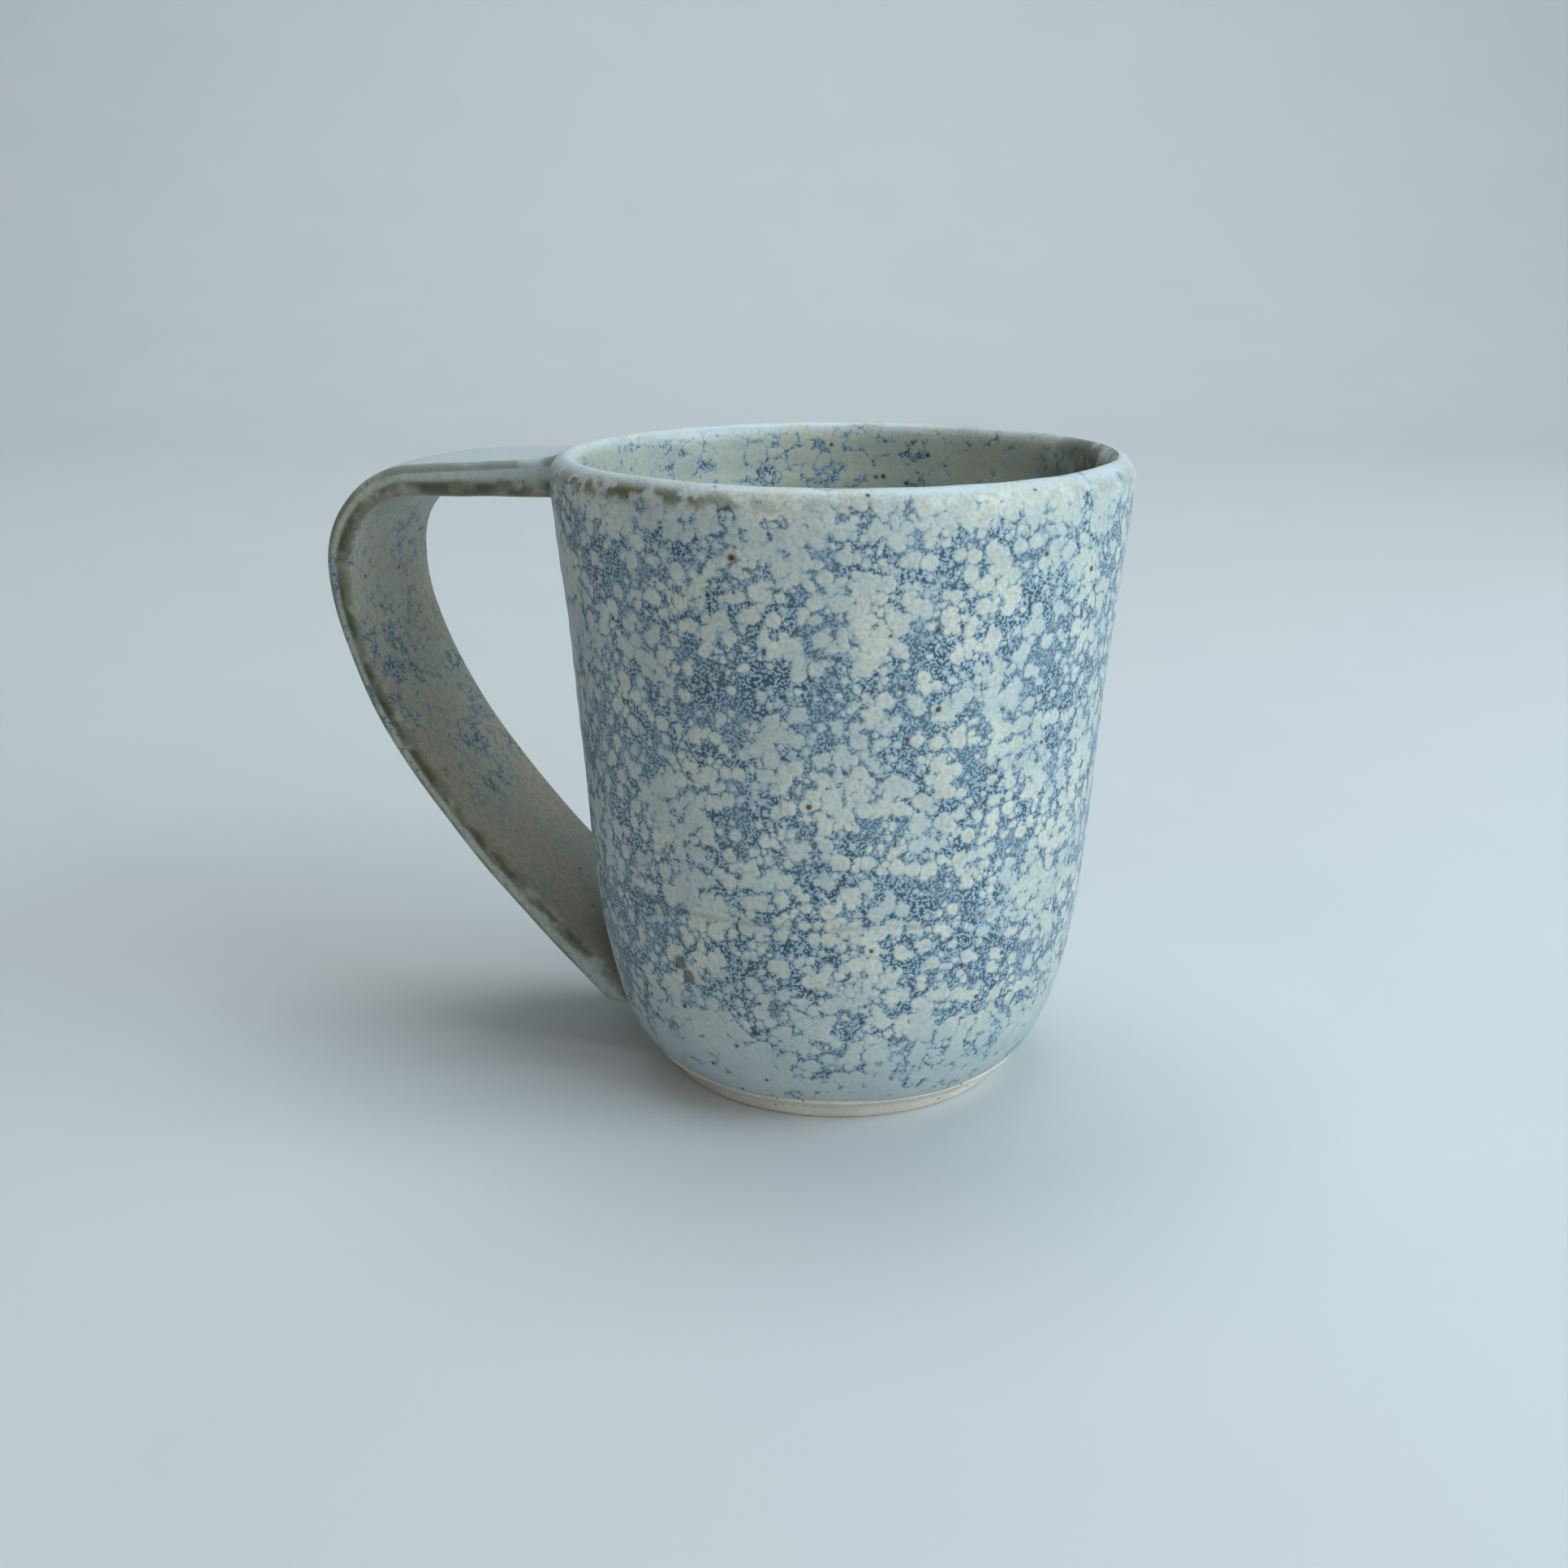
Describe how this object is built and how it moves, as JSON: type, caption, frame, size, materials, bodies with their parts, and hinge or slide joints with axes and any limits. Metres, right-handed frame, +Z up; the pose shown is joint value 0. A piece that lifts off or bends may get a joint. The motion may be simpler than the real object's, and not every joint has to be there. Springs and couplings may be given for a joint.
{
  "type": "mug",
  "caption": "Straight-sided cylindrical mug with a rounded heel, a bare foot and a broad strap handle flush with the rim, in mottled blue and cream glaze.",
  "frame": {"origin": "centre of the foot, on the plane the mug stands on", "axes": "+Z up the axis of the cup; the handle points to -X and its middle plane is XZ"},
  "size_m": [0.1299, 0.0898, 0.1],
  "materials": {
    "bare_stoneware": "matte, fired unglazed stoneware, fine tooth",
    "slip": "matte, fired slip",
    "mottled_glaze": "satin-matte glaze, cream spots over slate blue with iron specks",
    "liner_glaze": "satin-matte grey-green glaze with a little blue near the lip",
    "handle_glaze": "satin-matte grey-green glaze, breaking olive brown on the edges"
  },
  "bodies": {
    "root": {"mug_body": "bare_stoneware", "handle_strap": "bare_stoneware", "upper_slip_joint": "slip", "lower_slip_joint": "slip", "outer_glaze": "mottled_glaze", "liner_glaze": "liner_glaze", "handle_glaze": "handle_glaze"}
  },
  "joints": []
}
